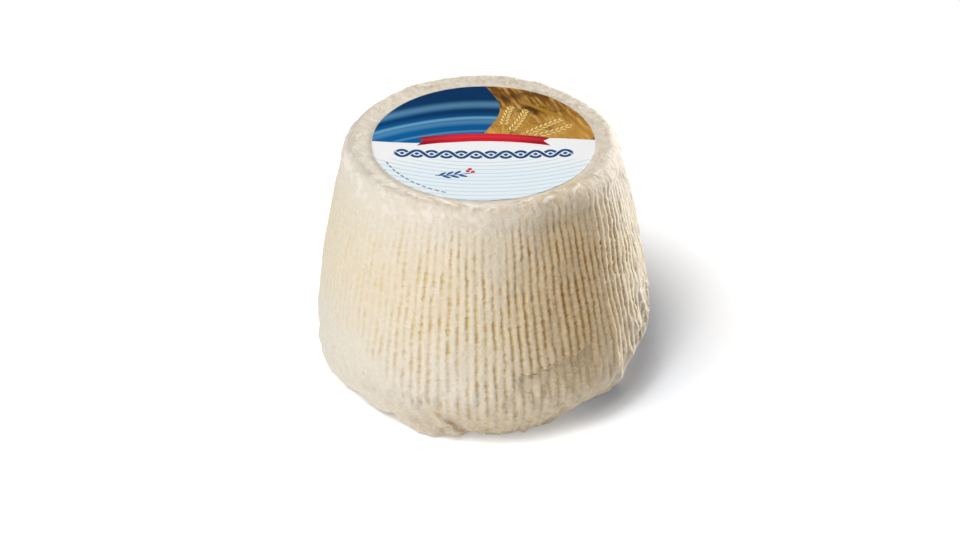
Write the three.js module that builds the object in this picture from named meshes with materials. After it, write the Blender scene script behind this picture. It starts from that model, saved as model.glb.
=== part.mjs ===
// A moulded round of salted ricotta, about two kilograms, turned out of its draining basket and
// standing on its wide end, with a round printed label lying on the flat top.
//
// The curd is one solid. It is turned about the vertical axis from a mean profile, and every vertex
// is then moved outwards or inwards by what the basket and the curd did to it: upright ribs between
// the basket's slats, a body that isn't quite round, and lobes and dents round the foot, where the
// curd stood open at the basket's mouth.
//
// Millimetres, +Z up, the origin at the middle of the foot. Angles run round the axis from the front
// (-Y) towards +X.
import * as THREE from 'three';

// Sizes of the whole
const HEIGHT = 117; // the foot to the flat seat under the label
const FOOT_RADIUS = 62;
const BELLY_RADIUS = 76.6; // the widest level
const BELLY_HEIGHT = 28;
const SHOULDER_RADIUS = 61.8; // where the side ends and the top edge rounds over
const SHOULDER_HEIGHT = 111;
const RIM_RADIUS = 58.6; // the crown of the top edge
const RIM_LIFT = 1.2; // the crown stands this much above the seat
const LABEL_RADIUS = 50;
const LABEL_THICKNESS = 0.4;
const SEAT_RADIUS = LABEL_RADIUS + 1.5;

// How the side curves in towards the shoulder and under towards the foot
const TAPER_POWER = 1.5;
const UNDERCUT_POWER = 1.75;
const UNDERCUT_LEAN = 3.4; // the right side is cut under by this much more than the middle
const TOP_LEAN = 1.1; // the top sits this far towards the left
const TOP_SQUARENESS = 0.5;

// Ribs pressed by the basket's slats
const RIBS = 120;
const RIB_DEPTH = 1.3;
const GROOVE_SHARPNESS = 1.5; // above 1 the grooves are narrower than the ribs
const RIB_DRIFT = 2.2; // degrees that a rib leans outwards over the height of the side
const RIB_FADE = 9; // the ribs run out over this height at the shoulder and above the foot

// Lobes and dents round the foot: angle, half width in degrees, outward size, height that they reach
const FOOT_LUMPS = [
  { angle: -86, spread: 34, out: 6.6, reach: 28 },
  { angle: -50, spread: 9, out: 1.5, reach: 12 },
  { angle: -38, spread: 4, out: -1.8, reach: 8 },
  { angle: -22, spread: 15, out: 4.8, reach: 12 },
  { angle: -7.5, spread: 5, out: -2.6, reach: 9 },
  { angle: 12, spread: 18, out: 1.4, reach: 10 },
  { angle: 40, spread: 15, out: -5.4, reach: 16 },
  { angle: 67, spread: 9, out: 5.4, reach: 14 },
  { angle: 92, spread: 9, out: -2.2, reach: 22 },
  { angle: 118, spread: 16, out: 3.2, reach: 18 },
  { angle: 151, spread: 12, out: -3.4, reach: 13 },
  { angle: 176, spread: 15, out: 3.8, reach: 12 },
  { angle: -142, spread: 13, out: -2.8, reach: 14 },
  { angle: -118, spread: 11, out: 2.4, reach: 12 },
];

// An upright corner in the side, right of the front, where the body turns more sharply
const CORNER = { angle: 50, spread: 24, out: 1.3 };

// Waves in the surface, slow over the whole body and short where the curd is lumpy: how often each
// one turns round the body and over its height, its size and its phase
const BODY_WAVES = [
  { round: 3, up: 0.6, size: 0.2, phase: 0.6 },
  { round: 7, up: -1.3, size: 0.18, phase: 2.1 },
  { round: 11, up: 2.2, size: 0.16, phase: 4.4 },
  { round: 17, up: -3.1, size: 0.13, phase: 1.2 },
];
const CURD_WAVES = [
  { round: 31, up: -4.3, size: 0.26, phase: 0.4 },
  { round: 47, up: 5.2, size: 0.24, phase: 2.9 },
  { round: 67, up: -6.4, size: 0.2, phase: 5.1 },
];
const LUMPY_BELOW = 50; // the curd is lumpy at the foot, and smooth from this height up
const LUMPY_SIDE = { angle: 82, spread: 34 }; // and higher up on the right

// How finely the solid is cut: three columns to a rib, one in the groove and two on the rib's back
const COLUMNS = RIBS * 3;
const UNDERCUT_ROWS = 5;
const SIDE_ROWS = 6;
const SHOULDER_ROWS = 2;
const LABEL_SIDES = 120;

const degrees = THREE.MathUtils.degToRad;
const { clamp, smoothstep } = THREE.MathUtils;

// 1 at the middle of a lump and 0 past its spread, going round the body either way
function lumpAround(angle, middle, spread) {
  const apart = THREE.MathUtils.euclideanModulo(angle - middle + 180, 360) - 180;
  const share = clamp(Math.abs(apart) / spread, 0, 1);
  return (1 - share * share) ** 2;
}

// The mean radius of the side at a height
function sideRadius(height) {
  const rise = clamp((height - BELLY_HEIGHT) / (SHOULDER_HEIGHT - BELLY_HEIGHT), 0, 1);
  const drop = clamp(1 - height / BELLY_HEIGHT, 0, 1);
  return (
    BELLY_RADIUS -
    (BELLY_RADIUS - SHOULDER_RADIUS) * rise ** TAPER_POWER -
    (BELLY_RADIUS - FOOT_RADIUS) * drop ** UNDERCUT_POWER
  );
}

function waveSum(waves, angle, height) {
  const turn = degrees(angle);
  const climb = 2 * Math.PI * (height / HEIGHT);
  return waves.reduce(
    (sum, { round, up, size, phase }) => sum + size * Math.sin(round * turn + up * climb + phase),
    0,
  );
}

// How lumpy the curd is: fully at the foot, fading out above, and on the right up to the shoulder
function lumpiness(angle, height) {
  const low = 1 - smoothstep(height, LUMPY_BELOW / 2, LUMPY_BELOW);
  const onSide = lumpAround(angle, LUMPY_SIDE.angle, LUMPY_SIDE.spread);
  return Math.max(low, onSide * (1 - smoothstep(height, LUMPY_BELOW, SHOULDER_HEIGHT)));
}

// What makes the body out of round, apart from the foot's lumps
function outOfRound(angle, height) {
  const turn = degrees(angle);
  const rise = clamp((height - BELLY_HEIGHT) / (SHOULDER_HEIGHT - BELLY_HEIGHT), 0, 1);
  const drop = clamp(1 - height / BELLY_HEIGHT, 0, 1);
  const slow = waveSum(BODY_WAVES, angle, height);
  const lumpy = waveSum(CURD_WAVES, angle, height) * lumpiness(angle, height);
  const corner = CORNER.out * Math.max(0, 1 - Math.abs(angle - CORNER.angle) / CORNER.spread);
  return (
    slow +
    lumpy +
    corner -
    UNDERCUT_LEAN * Math.sin(turn) * drop ** UNDERCUT_POWER +
    (TOP_SQUARENESS * Math.cos(4 * turn) - TOP_LEAN * Math.sin(turn)) * rise
  );
}

function footLumps(angle, height) {
  return FOOT_LUMPS.reduce(
    (sum, { angle: middle, spread, out, reach }) =>
      sum + out * lumpAround(angle, middle, spread) * (1 - smoothstep(height, 0, reach)),
    0,
  );
}

// How strongly the ribs are pressed: full at the front and back of the side, faint on the left,
// shallower below the belly, and run out at the shoulder and the foot
function ribStrength(angle, height) {
  const faintLeft = 1 - 0.75 * lumpAround(angle, -88, 62);
  const shallowLow = 0.6 + 0.4 * smoothstep(height, BELLY_HEIGHT, BELLY_HEIGHT * 2);
  const runOut =
    smoothstep(height, 0, RIB_FADE) * (1 - smoothstep(height, HEIGHT - 1 - RIB_FADE, HEIGHT - 1));
  return faintLeft * shallowLow * runOut;
}

// Broad rounded ribs with a groove between them, the first groove at the front
function ribRelief(angle, height) {
  const inGroove = (1 + Math.cos(RIBS * degrees(angle))) / 2;
  return RIB_DEPTH * (0.5 - inGroove ** GROOVE_SHARPNESS) * ribStrength(angle, height);
}

// Degrees by which a rib leans round the body: outwards on the right-hand side as it goes down
function ribLean(angle, height) {
  return RIB_DRIFT * Math.max(0, Math.sin(degrees(angle))) * (0.5 - height / HEIGHT);
}

// The mean profile from the middle of the foot, up the side and over to the middle of the top
function meanProfile() {
  const points = [new THREE.Vector2(0, 0)];
  for (let row = 0; row < UNDERCUT_ROWS; row++) {
    const height = (BELLY_HEIGHT * row) / UNDERCUT_ROWS;
    points.push(new THREE.Vector2(sideRadius(height), height));
  }
  for (let row = 0; row <= SIDE_ROWS; row++) {
    const height = THREE.MathUtils.lerp(BELLY_HEIGHT, SHOULDER_HEIGHT, row / SIDE_ROWS);
    points.push(new THREE.Vector2(sideRadius(height), height));
  }
  for (let row = 1; row <= SHOULDER_ROWS; row++) {
    const bend = (Math.PI / 2) * (row / SHOULDER_ROWS);
    points.push(
      new THREE.Vector2(
        THREE.MathUtils.lerp(RIM_RADIUS, SHOULDER_RADIUS, Math.cos(bend)),
        THREE.MathUtils.lerp(SHOULDER_HEIGHT, HEIGHT + RIM_LIFT, Math.sin(bend)),
      ),
    );
  }
  points.push(new THREE.Vector2(SEAT_RADIUS, HEIGHT));
  points.push(new THREE.Vector2(0, HEIGHT));
  return points;
}

// The turned body with every vertex moved to where the basket and the curd put it. The seat under
// the label stays flat and round, and the foot stays flat.
function curdGeometry() {
  const geometry = new THREE.LatheGeometry(meanProfile(), COLUMNS);
  geometry.rotateX(Math.PI / 2);
  const position = geometry.getAttribute('position');
  const point = new THREE.Vector3();
  for (let i = 0; i < position.count; i++) {
    point.fromBufferAttribute(position, i);
    const radius = Math.hypot(point.x, point.y);
    if (radius <= SEAT_RADIUS + 0.01) continue;
    const angle = THREE.MathUtils.radToDeg(Math.atan2(point.x, -point.y));
    const height = point.z;
    const moved =
      radius + outOfRound(angle, height) + footLumps(angle, height) + ribRelief(angle, height);
    const turned = degrees(angle + ribLean(angle, height));
    position.setXYZ(i, moved * Math.sin(turned), -moved * Math.cos(turned), height);
  }
  geometry.computeVertexNormals();
  return geometry;
}

const curd = new THREE.Mesh(
  curdGeometry(),
  new THREE.MeshStandardMaterial({ color: 0xe6dac1, roughness: 0.75, metalness: 0 }),
);
curd.name = 'ricotta_round';

const label = new THREE.Mesh(
  new THREE.CylinderGeometry(LABEL_RADIUS, LABEL_RADIUS, LABEL_THICKNESS, LABEL_SIDES),
  new THREE.MeshStandardMaterial({ color: 0xf2f5f8, roughness: 0.35, metalness: 0 }),
);
label.name = 'top_label';
label.rotation.x = Math.PI / 2;
label.position.z = HEIGHT + LABEL_THICKNESS / 2;

const ricotta = new THREE.Group();
ricotta.add(curd, label);

export default ricotta;
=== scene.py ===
"""A moulded round of salted ricotta under its printed label, on a white studio floor.

The curd is turned from its mean section as a fine closed mesh. Geometry nodes then press the
basket's ribs into it, crumble the curd and scatter crumbs over it. The label is a thin paper disc
whose print is fields of colour and simple ornament.

The sizes below are in millimetres, and the meshes are in metres. The label's node gives its size
and the height of its seat. Angles run round the axis in degrees from the front (-Y) towards +X.
"""
import math
from types import SimpleNamespace

import bpy
import numpy as np
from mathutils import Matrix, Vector


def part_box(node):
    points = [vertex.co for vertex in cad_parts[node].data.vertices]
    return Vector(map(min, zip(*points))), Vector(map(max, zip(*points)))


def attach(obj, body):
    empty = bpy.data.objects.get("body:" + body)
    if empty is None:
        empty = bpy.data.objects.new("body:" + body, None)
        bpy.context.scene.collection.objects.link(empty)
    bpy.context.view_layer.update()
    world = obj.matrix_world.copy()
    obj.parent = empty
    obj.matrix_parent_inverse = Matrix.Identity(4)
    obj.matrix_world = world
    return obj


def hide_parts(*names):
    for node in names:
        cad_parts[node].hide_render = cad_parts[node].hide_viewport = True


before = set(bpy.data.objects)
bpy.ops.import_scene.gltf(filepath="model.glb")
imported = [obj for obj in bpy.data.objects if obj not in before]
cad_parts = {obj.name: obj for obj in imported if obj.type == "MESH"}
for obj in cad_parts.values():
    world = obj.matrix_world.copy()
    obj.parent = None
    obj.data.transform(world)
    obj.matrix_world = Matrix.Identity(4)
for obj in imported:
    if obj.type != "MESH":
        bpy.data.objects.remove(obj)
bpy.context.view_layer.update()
label_low, label_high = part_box("top_label")

MM = 0.001
SEED = 11

# ---- Sizes of the round
HEIGHT = round(label_low[2] / MM, 3)  # the foot to the flat seat under the label
FOOT_RADIUS = 62.0
FOOT_ROUNDING = 2.4  # the foot's edge turns under over this height
BELLY_RADIUS = 76.6  # the widest level
BELLY_HEIGHT = 28.0
SHOULDER_RADIUS = 61.8
SHOULDER_HEIGHT = 111.0
EDGE_START = 108.5  # the top edge rounds over from this height
CROWN_RADIUS = 57.4  # where the top edge is highest
RIM_LIFT = 1.2  # how far it stands above the seat there
LABEL_RADIUS = round((label_high[0] - label_low[0]) / 2 / MM, 3)
LABEL_THICKNESS = round((label_high[2] - label_low[2]) / MM, 3)
SEAT_RADIUS = LABEL_RADIUS + 1.5
TAPER_POWER = 1.5  # how the side curves in towards the shoulder
UNDERCUT_POWER = 1.75  # and under towards the foot
UNDERCUT_LEAN = 3.4  # the right side is cut under by this much more than the middle
TOP_LEAN = 1.1  # the top sits this far towards the left
TOP_SQUARENESS = 0.5

RIBS = 120
RIB_RISE = 0.45  # a rib's back stands this much above the mean surface
GROOVE_DEPTH = 1.15

# Lobes and dents round the foot: angle, half width, outward size, height that they reach
FOOT_LUMPS = [
    (-86, 34, 6.6, 28),
    (-50, 9, 1.5, 12),
    (-38, 4, -1.8, 8),
    (-22, 15, 4.8, 12),
    (-7.5, 5, -2.6, 9),
    (12, 18, 1.4, 10),
    (40, 15, -5.4, 16),
    (67, 9, 5.4, 14),
    (92, 9, -2.2, 22),
    (118, 16, 3.2, 18),
    (151, 12, -3.4, 13),
    (176, 15, 3.8, 12),
    (-142, 13, -2.8, 14),
    (-118, 11, 2.4, 12),
]
CORNER_ANGLE, CORNER_SPREAD, CORNER_OUT = 50, 24, 1.3

# Single lumps and hollows in the side: angle, height, half width and half height in mm, outward size
SIDE_LUMPS = [
    (67, 21, 9, 5, -3.0),
    (56, 15, 5, 3.5, 1.4),
    (54, 7, 7, 4, 1.8),
    (-54, 2, 8, 6, -2.0),
    (-10, 2, 5, 5, 1.4),
    (76, 38, 5, 6, 1.3),
    (70, 50, 4, 5, -0.9),
    (88, 31, 4, 4, 1.2),
    (63, 33, 4, 5, -1.0),
    (48.8, 40, 1.4, 20, 0.55),
    (55, 38, 4.5, 16, -1.1),
    (61.5, 27.5, 3, 3, 1.2),
    (65.5, 38, 2.5, 3, 1.3),
    (58.5, 46, 2.2, 3.5, -1.3),
    (52.5, 19, 2.5, 3, 1.2),
    (49.5, 22.5, 1.8, 2.6, -1.0),
    (100, 44, 7, 8, -1.4),
    (112, 30, 8, 6, 1.5),
    (-150, 36, 9, 7, -1.2),
    (160, 52, 8, 9, 1.0),
    (-120, 24, 8, 6, 1.1),
    (25, 113, 7, 3, 0.4),
    (41, 114, 8, 3, 0.5),
    (33, 106, 13, 3.5, -0.8),
    (63, 113, 6, 3, 0.7),
    (-14, 114, 8, 3, 0.5),
    (97, 112, 9, 3, 0.8),
    (150, 113, 10, 3, 0.7),
    (-118, 113, 9, 3, 0.6),
]

# Torn flakes on the top edge: angle, radius, half length and half width in mm, lift, slant
FLAKES = [
    (-61, 56.0, 2.4, 1.2, 0.4, 0.3),
    (-46, 57.4, 4.6, 1.6, 0.5, -0.25),
    (-34, 56.4, 3.6, 1.6, 0.8, 0.35),
    (-27, 53.4, 2.2, 1.0, 0.5, -0.2),
    (-19.5, 55.4, 4.4, 1.9, 0.9, 0.4),
    (-12, 54.0, 2.4, 1.2, 0.6, 0.1),
    (-6, 57.0, 4.4, 1.7, 0.9, 0.45),
    (3, 58.6, 2.4, 1.2, 0.7, -0.2),
    (20, 55.0, 5.4, 1.6, 0.8, -0.3),
    (29, 58.0, 3.4, 1.7, 0.9, -0.15),
    (38, 54.4, 3.2, 1.3, 0.6, 0.2),
    (44, 58.2, 5.0, 1.7, 0.8, -0.4),
    (59, 57.6, 2.6, 1.5, 0.6, 0.3),
    (74, 55.0, 5.2, 1.4, 0.5, -0.3),
    (97, 57.4, 3.0, 1.5, 0.6, 0.4),
    (121, 54.6, 6.0, 1.4, 0.45, -0.2),
    (152, 57.6, 3.4, 1.6, 0.6, 0.35),
    (171, 55.4, 2.2, 1.2, 0.4, -0.3),
    (-152, 56.8, 6.0, 1.5, 0.5, 0.2),
    (-121, 54.8, 2.6, 1.3, 0.4, -0.35),
    (-93, 57.0, 4.8, 1.4, 0.45, 0.2),
]

# Waves in the surface: turns round the body, waves over the height, size, phase
BODY_WAVES = [(3, 0.6, 0.2, 0.6), (7, -1.3, 0.18, 2.1), (11, 2.2, 0.16, 4.4), (17, -3.1, 0.13, 1.2)]
CURD_WAVES = [(31, -4.3, 0.26, 0.4), (47, 5.2, 0.24, 2.9), (67, -6.4, 0.2, 5.1)]
LUMPY_BELOW = 50  # the curd is lumpy at the foot, and smooth from this height up

# Patches of the side: middle and half width in degrees
LUMPY_SIDE = (82, 34)
CRAGGY_SIDE = (82, 32)
CRUMBLY_BACK = (178, 70)
BROKEN_RIBS = (33, 26)
SMOOTH_LOBE = (-27, 19)
BOWED_RIBS = (52, 16)
WAVY_RIBS = (80, 32)
SLIPPED_RIBS = (65, 17)
# The right front turns from the key light; its curd is painted darker and more ochre there as shade
SHADED_FRONT = (34, 42)
PALE_LEFT = (-75, 70)
PALE_SIDE = (94, 38)
YELLOW_BELT = (76, 46)  # middle and half width in height

# Stretches of the side in degrees: where each begins, is whole, starts to end and has ended
HIGH_RIBS = (14, 40, 100, 160)
SOFT_RIBS = (54, 76, 108, 126)
LATE_STRAY = (2, 14, 100, 150)
PLAIN_GROOVES = (18, 42, 105, 130)
# The same, in degrees towards the left
FAINT_RIBS = (-15, 62, 118, 150)
CLOSED_FOOT = (6, 30, 118, 150)

# Degrees that a rib has strayed round the body at its lower end: angle of its top, how far
STRAY = [
    (-180, -0.3), (-90, -0.6), (-50, -1.2), (-20, -0.9), (-10, 0.7), (0, 1.7),
    (20, 2.3), (50, 2.5), (90, 1.5), (150, 0), (180, -0.3),
]
STRAY_START = 108  # height
STRAY_DROP = 80  # the whole stray is reached this far below it
STRAY_DELAY = 0.375  # share of that drop before the ribs on the right stray at all

# Bands where curd bridged the ribs: angle, half width, height, half height, strength
HOOPS = [
    (4, 12, 95, 2.2, 0.7),
    (-38, 9, 89, 2.4, 0.8),
    (10, 6, 89, 1.8, 0.6),
    (-1, 7, 52.6, 2.4, 0.8),
    (-9, 4.5, 40, 8, 0.6),
    (-16, 3, 52, 5, 0.5),
    (5, 4, 30, 3, 0.5),
    (30, 8, 84, 1.6, 0.5),
    (-20, 10, 74, 2.0, 0.45),
    (44, 7, 100, 2.4, 0.6),
    (130, 16, 92, 2.4, 0.7),
    (-150, 14, 60, 2.6, 0.7),
    (170, 10, 78, 2.0, 0.6),
    (-105, 18, 84, 2.4, 0.6),
]

RIB_TOP = 106  # the ribs run out at about this height
RIB_TOP_RISE = 5  # and this much higher where they reach up
RIB_VARIETY = 3  # each rib's ends lie up to this far from the mean

# Where the ribs run out above the foot: angle, height
RIB_ENDS = [
    (-180, 14), (-130, 20), (-100, 34), (-70, 42), (-45, 40), (-34, 31), (-20, 22), (-8, 12), (0, 0),
    (34, 0), (42, 16), (52, 26), (95, 26), (115, 22), (140, 14), (180, 14),
]

# Where the pale curd of the top begins on the side: angle, height
TOP_STARTS = [
    (-180, 101), (-60, 99), (0, 102), (16, 105), (28, 107), (52, 107), (66, 104), (90, 101), (180, 101),
]
TOP_FADE = 14  # it is whole this much higher

# Cracks along which the ribs break off: (angle, height) along each, depth of the step below it. Where
# that is below zero, it is a fold, and the curd below it bulges.
CRACKS = [
    ([(11, 40.5), (15, 41.6), (18, 44.6), (21, 44), (25, 46.2), (29, 46), (33, 47.2), (39, 47.6)], 1.2),
    ([(128, 38), (136, 41), (143, 39.5), (150, 43)], 1.1),
    ([(-164, 30), (-158, 33), (-150, 31.5)], 0.8),
    ([(-17, 19.4), (-15, 17.8), (-13.6, 15.8), (-12.2, 13), (-10.4, 8.8), (-8.4, 5)], -1.3),
]
CRACK_REACH = 9.0  # a point farther than this from every crack knows of none
CRACK_TIP_VARIETY = 1.1
CRACK_TIP_ROUNDING = 0.9
STEP_REACH = 15  # the step runs out this far below its crack
FOLD_OPENING = 0.25  # how open a fold is, where a crack is 1

# Small pits, ends of grooves and folds at the foot: angle, height, half width and half height in mm, depth
PITS = [
    (-43.6, 28.4, 0.9, 1.1, 0.9),
    (-39.5, 21.8, 1.1, 0.9, 0.8),
    (-27.0, 25.8, 0.8, 2.4, 0.6),
    (-23.5, 24.0, 0.8, 2.9, 0.8),
    (-20.7, 24.4, 0.8, 3.2, 0.8),
    (-17.8, 25.6, 0.8, 2.6, 0.6),
    (-14.5, 24.0, 0.9, 3.0, 0.9),
    (-8.6, 4.6, 1.0, 2.4, 1.2),
    (5, 27, 0.9, 2.4, 0.6),
    (9, 21, 1.2, 1.8, 0.6),
    (19, 30, 0.9, 2.6, 0.7),
    (24, 21, 1.4, 1.8, 0.8),
    (28, 13, 1.6, 3.0, 1.1),
    (35, 17, 1.6, 2.4, 0.9),
    (46, 27, 1.0, 3.4, 0.8),
    (-62, 46, 0.7, 0.9, 0.5),
    (146, 14, 1.0, 5.0, 1.8),
    (-128, 9, 1.2, 4.0, 1.6),
]
# Orange-brown stains: angle, height, half width and half height in mm
STAINS = [
    (-15.6, 18.4, 1.6, 1.3),
    (-11.8, 12.6, 2.2, 2.6),
    (-9.2, 6.4, 1.0, 2.0),
    (148, 13, 2.2, 1.6),
]

# ---- How finely the round is meshed
COLUMNS = RIBS * 6
ROW_STEP = 1.05
EDGE_ROWS = 12
SEAT_ROWS = 8
UNDER_RINGS = (0.4, 0.75, 0.93)  # rings under the foot, as shares of its radius
SEAT_RING = 0.7  # one ring under the label, as a share of the seat's radius

# How often the noise in the curd's finish turns in a metre
GRAIN, BEADS, MOTTLE, SCALES, PATCHES = 1100.0, 430.0, 330.0, 240.0, 45.0
IN_MM = (1 / MM, 1 / MM, 1 / MM)
PRINT_EDGE = 0.14  # how soft an edge of the print is
NAVY, RED, PAPER = (20, 84, 140), (206, 30, 52), (240, 240, 240)


def srgb(red, green, blue):
    """A colour given as 0 to 255 as Blender's linear one."""
    shares = [channel / 255 for channel in (red, green, blue)]
    return tuple(c / 12.92 if c <= 0.04045 else ((c + 0.055) / 1.055) ** 2.4 for c in shares) + (1,)


# ---- Nodes
class Wire:
    """A node's output. Arithmetic on it adds Math nodes to its tree."""

    def __init__(self, graph, socket):
        self.graph = graph
        self.socket = socket

    def other(self, name):
        """Another output of the same node."""
        return Wire(self.graph, next(s for s in self.socket.node.outputs if s.enabled and s.name == name))

    def math(self, operation, *values):
        return self.graph.math(operation, *values)

    def __add__(self, other):
        return self.math("ADD", self, other)

    def __radd__(self, other):
        return self.math("ADD", other, self)

    def __sub__(self, other):
        return self.math("SUBTRACT", self, other)

    def __rsub__(self, other):
        return self.math("SUBTRACT", other, self)

    def __mul__(self, other):
        return self.math("MULTIPLY", self, other)

    def __rmul__(self, other):
        return self.math("MULTIPLY", other, self)

    def __truediv__(self, other):
        return self.math("DIVIDE", self, other)

    def __rtruediv__(self, other):
        return self.math("DIVIDE", other, self)

    def __pow__(self, other):
        return self.math("POWER", self, other)

    def __neg__(self):
        return self.math("MULTIPLY", self, -1)

    def __abs__(self):
        return self.math("ABSOLUTE", self)

    def __mod__(self, other):
        return self.math("FLOORED_MODULO", self, other)


class Graph:
    """Adds nodes to a shader or geometry tree."""

    def __init__(self, tree):
        self.tree = tree

    def feed(self, socket, value):
        if isinstance(value, Wire):
            self.tree.links.new(value.socket, socket)
        else:
            socket.default_value = value

    def add(self, kind, settings=None, *values, **named):
        """One node: its settings first, then its sockets in order or by name (a _ stands for a space)."""
        node = self.tree.nodes.new(kind)
        for name, value in (settings or {}).items():
            setattr(node, name, value)
        free = [socket for socket in node.inputs if socket.enabled]
        for socket, value in zip(free, values):
            self.feed(socket, value)
        for name, value in named.items():
            self.feed(next(s for s in free if s.name == name.replace("_", " ")), value)
        shown = [socket for socket in node.outputs if socket.enabled]
        return Wire(self, shown[0]) if shown else node

    def math(self, operation, *values):
        return self.add("ShaderNodeMath", {"operation": operation}, *values)

    def sine(self, value):
        return self.math("SINE", value)

    def cosine(self, value):
        return self.sine(value + math.pi / 2)

    def lower(self, value, other):
        return self.math("MINIMUM", value, other)

    def higher(self, value, other):
        return self.math("MAXIMUM", value, other)

    def bearing(self, x, y):
        """Degrees round the axis, from the front."""
        return self.math("ARCTAN2", x, -y) * (180 / math.pi)

    def step(self, value, low, high):
        """0 at low and 1 at high, with a smooth rise between; low may be the larger."""
        settings = {"interpolation_type": "SMOOTHSTEP"}
        return self.add("ShaderNodeMapRange", settings, value, From_Min=low, From_Max=high)

    def hill(self, value, middle, spread):
        """1 at the middle and 0 past the spread on either side."""
        return self.step(abs(value - middle), spread, 0)

    def vector(self, x, y, z):
        return self.add("ShaderNodeCombineXYZ", None, x, y, z)

    def split(self, vector):
        x = self.add("ShaderNodeSeparateXYZ", None, vector)
        return x, x.other("Y"), x.other("Z")

    def stretch(self, vector, scale):
        return self.add("ShaderNodeVectorMath", {"operation": "MULTIPLY"}, vector, scale)

    def shift(self, vector, offset):
        return self.add("ShaderNodeVectorMath", {"operation": "ADD"}, vector, offset)

    def noise(self, vector, scale=1.0, detail=2.0, roughness=0.5):
        """Noise about 0.5, from 0 to 1."""
        sockets = {"Vector": vector, "Scale": scale, "Detail": detail, "Roughness": roughness}
        return self.add("ShaderNodeTexNoise", None, **sockets)

    def cells(self, vector, scale):
        """Distance from the middle of the cell that a point is in: 0 there, about 0.7 at its edge."""
        return self.add("ShaderNodeTexVoronoi", {"feature": "F1"}, Vector=vector, Scale=scale)

    def blend(self, share, colour, other):
        return self.add("ShaderNodeMix", {"data_type": "RGBA"}, share, colour, other)

    def paint(self, base, *layers):
        """A colour under layers of others, each with its share. A colour is a wire or 0 to 255."""
        colour = as_colour(base)
        for share, other in layers:
            colour = self.blend(share, colour, as_colour(other))
        return colour


def as_colour(value):
    return value if isinstance(value, Wire) else srgb(*value)


# ---- The turned body
def smoothstep(value, low, high):
    share = np.clip((value - low) / (high - low), 0, 1)
    return share * share * (3 - 2 * share)


def fade(value, low, high):
    """1 up to low and 0 from high on."""
    return 1 - smoothstep(value, low, high)


def span(value, begins, whole, ends, ended):
    """1 well inside a stretch and 0 outside it."""
    return smoothstep(value, begins, whole) * fade(value, ends, ended)


def by_angle(angle, pairs):
    """A value that is given at some angles, straight between them."""
    return np.interp(angle, *zip(*pairs))


def wrap(angle):
    return (angle + 180) % 360 - 180


def lump_around(angle, middle, spread):
    """1 at the middle of a lump and 0 past its spread, going round the body either way."""
    share = np.clip(np.abs(wrap(angle - middle)) / spread, 0, 1)
    return (1 - share**2) ** 2


def rise_and_drop(height):
    """Shares of the way from the belly up to the shoulder, and down to the foot."""
    rise = np.clip((height - BELLY_HEIGHT) / (SHOULDER_HEIGHT - BELLY_HEIGHT), 0, 1)
    return rise, np.clip(1 - height / BELLY_HEIGHT, 0, 1)


def side_radius(height):
    rise, drop = rise_and_drop(height)
    taper = (BELLY_RADIUS - SHOULDER_RADIUS) * rise**TAPER_POWER
    undercut = (BELLY_RADIUS - FOOT_RADIUS) * drop**UNDERCUT_POWER
    return BELLY_RADIUS - taper - undercut


def wave_sum(waves, angle, height):
    turn, climb = np.radians(angle), 2 * np.pi * height / HEIGHT
    return sum(size * np.sin(around * turn + up * climb + phase) for around, up, size, phase in waves)


def lumpiness(angle, height):
    """How lumpy the curd is: fully at the foot, and up to the shoulder on the right."""
    low = fade(height, LUMPY_BELOW / 2, LUMPY_BELOW)
    return np.maximum(low, lump_around(angle, *LUMPY_SIDE) * fade(height, LUMPY_BELOW, SHOULDER_HEIGHT))


def out_of_round(angle, height):
    """What makes the body out of round, apart from the foot's lobes and the single lumps."""
    turn = np.radians(angle)
    rise, drop = rise_and_drop(height)
    slow = wave_sum(BODY_WAVES, angle, height)
    lumpy = wave_sum(CURD_WAVES, angle, height) * lumpiness(angle, height)
    corner = CORNER_OUT * np.maximum(0, 1 - np.abs(wrap(angle - CORNER_ANGLE)) / CORNER_SPREAD)
    undercut = UNDERCUT_LEAN * np.sin(turn) * drop**UNDERCUT_POWER
    top = (TOP_SQUARENESS * np.cos(4 * turn) - TOP_LEAN * np.sin(turn)) * rise
    return slow + lumpy + corner - undercut + top


def foot_lumps(angle, height):
    return sum(
        out * lump_around(angle, middle, spread) * fade(height, 0, reach)
        for middle, spread, out, reach in FOOT_LUMPS
    )


def foot_rounding(height):
    """How far the edge of the foot is rounded under: not quite a quarter round."""
    share = np.clip(1 - height / FOOT_ROUNDING, 0, 1)
    return 0.8 * FOOT_ROUNDING * (1 - np.sqrt(1 - share**2 * 0.98))


def mark(angle, height, spot):
    """1 at the middle of a small oval mark and 0 outside it."""
    middle, level, half_width, half_height = spot[:4]
    along = np.radians(wrap(angle - middle)) * side_radius(height) / half_width
    return np.exp(-(along**2) - ((height - level) / half_height) ** 2)


def jitter(number, seed):
    """A fixed share from -1 to 1 for a whole number."""
    return 2 * np.modf(np.abs(np.sin(number * 12.9898 + seed * 78.233) * 437.585))[0] - 1


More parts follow.
